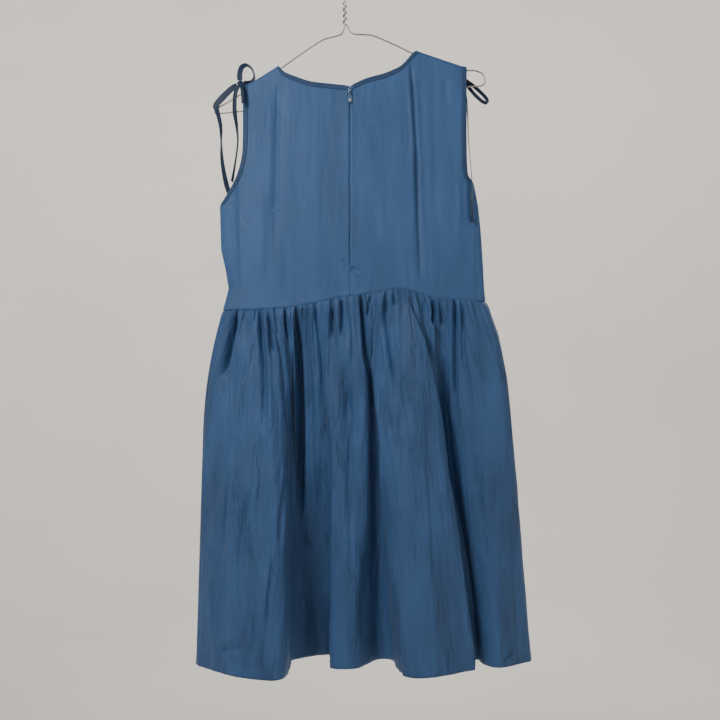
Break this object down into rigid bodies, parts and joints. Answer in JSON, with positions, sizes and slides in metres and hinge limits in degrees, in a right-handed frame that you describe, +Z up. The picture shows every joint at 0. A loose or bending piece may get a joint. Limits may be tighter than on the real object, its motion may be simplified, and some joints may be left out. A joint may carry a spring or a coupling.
{
  "type": "midi dress on a wire hanger",
  "caption": "Sleeveless midi dress with a gathered skirt, a back zip and tied shoulder straps, hung flat on a twisted wire hanger.",
  "frame": {"origin": "inner top of the hanger's hook, where the rail carries it", "axes": "+X along the shoulders, towards the right in the back view; +Z up, along the dress's length; -Y out of the back, where the zip is"},
  "size_m": [0.5347, 0.1567, 1.1204],
  "materials": {
    "cloth": "soft sheen, finely crinkled",
    "binding": "folded and stitched",
    "strap": "narrow folded strap",
    "tape": "woven tape",
    "painted_metal": "glossy",
    "wire": "dull galvanised"
  },
  "bodies": {
    "dress": {"skirt_back": "cloth", "skirt_front": "cloth", "bodice_back_left": "cloth", "bodice_back_right": "cloth", "bodice_front": "cloth", "neck_binding_back_left": "binding", "neck_binding_back_right": "binding", "neck_binding_front": "binding", "armhole_binding_left_back": "binding", "armhole_binding_left_front": "binding", "armhole_binding_right_back": "binding", "armhole_binding_right_front": "binding", "tie_knot_left": "strap", "tie_knot_right": "strap", "tie_loop_left_lower": "strap", "tie_loop_left_upper": "strap", "tie_loop_right_inner": "strap", "tie_loop_right_outer": "strap", "tie_tail_left_inner": "strap", "tie_tail_left_outer": "strap", "tie_tail_right_back": "strap", "tie_tail_right_front": "strap", "tie_end_knot_right_back": "strap", "tie_end_knot_right_front": "strap", "zip_tape": "tape", "zip_slider": "painted_metal", "hanger_wire": "wire"},
    "zip_pull": {"zip_pull": "painted_metal"}
  },
  "joints": [
    {"name": "zip_pull_hinge", "type": "hinge", "parent": "dress", "child": "zip_pull", "pos_m": [0.008, -0.01285, -0.2085], "axis": [-1, 0, 0], "range_deg": [0, 150]}
  ]
}
